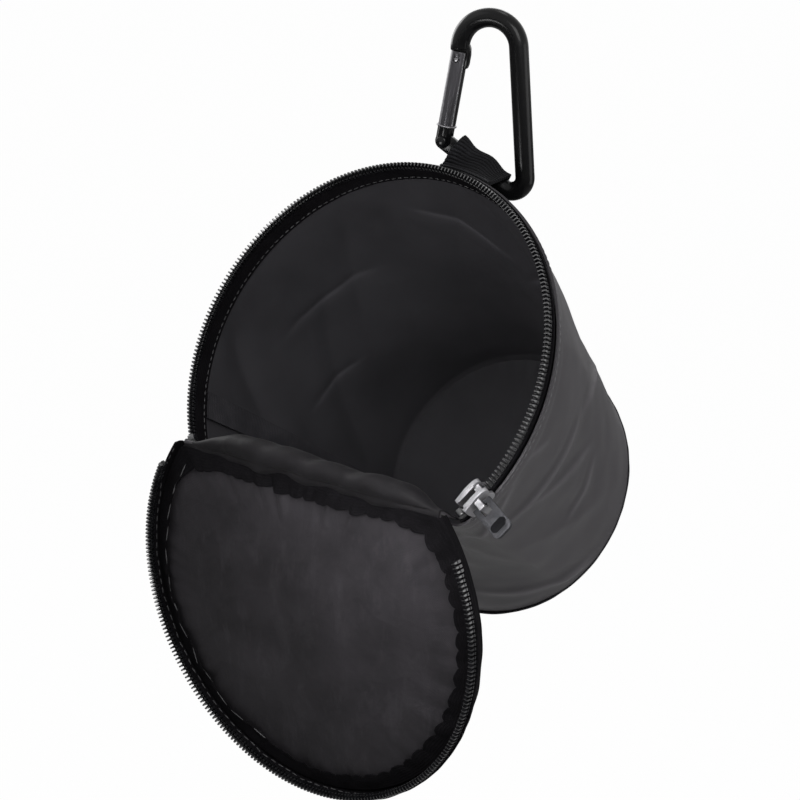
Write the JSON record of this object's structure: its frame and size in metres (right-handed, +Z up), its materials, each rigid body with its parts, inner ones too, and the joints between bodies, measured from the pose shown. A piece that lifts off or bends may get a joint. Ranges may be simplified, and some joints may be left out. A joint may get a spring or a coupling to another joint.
{
  "type": "peg bag",
  "caption": "Round fabric peg bag with a zipped flap lid that hangs open, a webbing loop and a spring gate carabiner to hang it from a line.",
  "frame": {"origin": "inside of the carabiner's crown, the point that rests on the line or hook it hangs from", "axes": "+Z up, -Y out of the open mouth on the hinge side, +X to the end of the zip where the slider rests"},
  "size_m": [0.1588, 0.1613, 0.2769],
  "materials": {
    "grey_fabric": "satin",
    "black_tape": "matte",
    "base_board": "matte",
    "zip_teeth": "satin",
    "black_metal": "gloss",
    "gate_metal": "satin",
    "steel": "satin",
    "slider_metal": "satin",
    "tab_metal": "satin"
  },
  "bodies": {
    "carabiner": {"carabiner_body": "black_metal", "gate_rivet": "steel"},
    "gate": {"carabiner_gate": "gate_metal", "gate_spring": "steel", "latch_pin": "steel"},
    "bag": {"side_panel": "grey_fabric", "side_seam": "black_tape", "base_panel": "base_board", "base_binding": "black_tape", "mouth_tape": "black_tape", "mouth_teeth": "zip_teeth", "zip_stop_right": "steel", "zip_stop_left": "steel", "hinge_band": "grey_fabric", "hang_loop": "black_tape"},
    "lid": {"lid_panel": "grey_fabric", "lid_seam": "black_tape", "lid_tape": "black_tape", "lid_teeth": "zip_teeth"},
    "slider": {"slider_body": "slider_metal"},
    "pull_tab": {"pull_tab": "tab_metal"}
  },
  "joints": [
    {"name": "gate_pivot", "type": "hinge", "parent": "carabiner", "child": "gate", "pos_m": [-0.01571, -0.0051, -0.04123], "axis": [-0.309, 0.9511, 0], "range_deg": [0, 28], "stiffness_Nm_per_rad": 0.02, "springref_deg": -17.19},
    {"name": "bag_swing", "type": "hinge", "parent": "carabiner", "child": "bag", "pos_m": [-0.00309, -0.001, -0.05052], "axis": [0.7791, 0.2531, -0.5736], "range_deg": [-35, 35]},
    {"name": "lid_hinge", "type": "hinge", "parent": "bag", "child": "lid", "pos_m": [-0.01536, -0.08446, -0.14864], "axis": [1, 0, 0], "range_deg": [-212.2, 18]},
    {"name": "slider_run", "type": "hinge", "parent": "bag", "child": "slider", "pos_m": [-0.01536, -0.05614, -0.11316], "axis": [0, -0.8572, 0.515], "range_deg": [0, 238.3]},
    {"name": "tab_pivot", "type": "hinge", "parent": "slider", "child": "pull_tab", "pos_m": [0.05368, -0.07598, -0.14617], "axis": [0.4872, 0.4498, 0.7486], "range_deg": [-88, 84]}
  ]
}
